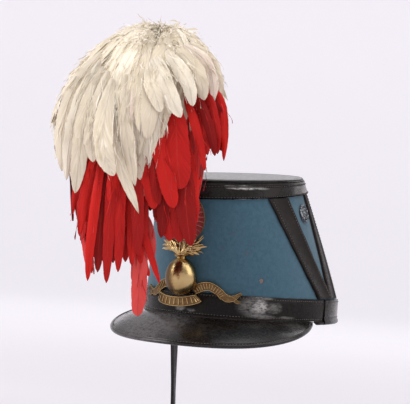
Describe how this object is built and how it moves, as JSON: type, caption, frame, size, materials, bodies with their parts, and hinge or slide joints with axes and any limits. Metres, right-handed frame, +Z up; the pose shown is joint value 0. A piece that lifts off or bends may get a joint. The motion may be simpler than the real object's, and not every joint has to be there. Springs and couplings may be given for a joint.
{
  "type": "plumed cavalry shako",
  "caption": "Forward-leaning shako with cloth wall, leather bands, chevrons and peak, metal grenade badge, pleated cockade and a falling feather plume.",
  "frame": {"origin": "centre of the head opening, on the plane of the wall's lower edge", "axes": "+Z up through the crown, -Y towards the peak and the front, +X towards the wearer's left"},
  "size_m": [0.1904, 0.3483, 0.3577],
  "materials": {
    "blue_cloth": "felted sky-blue wool, slightly faded, with small stains and a tear",
    "crown_leather": "black varnished leather, worn dull",
    "band_leather": "black patent leather, stitched, with glossy worn patches",
    "peak_leather": "black patent leather, scratched, bound at the edge",
    "chevron_leather": "black leather strip, stitched along both edges and cracked",
    "vent_metal": "blackened pierced metal",
    "cockade_silk": "pleated silk in red, white and blue rings with a gilt edge",
    "badge_brass": "stamped brass, polished on the ball and darker in the hollows",
    "stem_wire": "thread-wound wire",
    "white_feather": "soft cream-white cock feathers",
    "red_feather": "glossy dyed red cock feathers",
    "strap_leather": "black strap leather, dull"
  },
  "bodies": {
    "root": {"crown_body": "blue_cloth", "crown_top": "crown_leather", "top_band": "band_leather", "bottom_band": "band_leather", "rear_band": "band_leather", "peak": "peak_leather", "peak_binding": "peak_leather", "chevron_left": "chevron_leather", "chevron_right": "chevron_leather", "vent_left": "vent_metal", "vent_right": "vent_metal", "cockade": "cockade_silk", "badge": "badge_brass", "plume_stem": "stem_wire", "plume_white": "white_feather", "plume_red": "red_feather", "chin_strap": "strap_leather"}
  },
  "joints": []
}
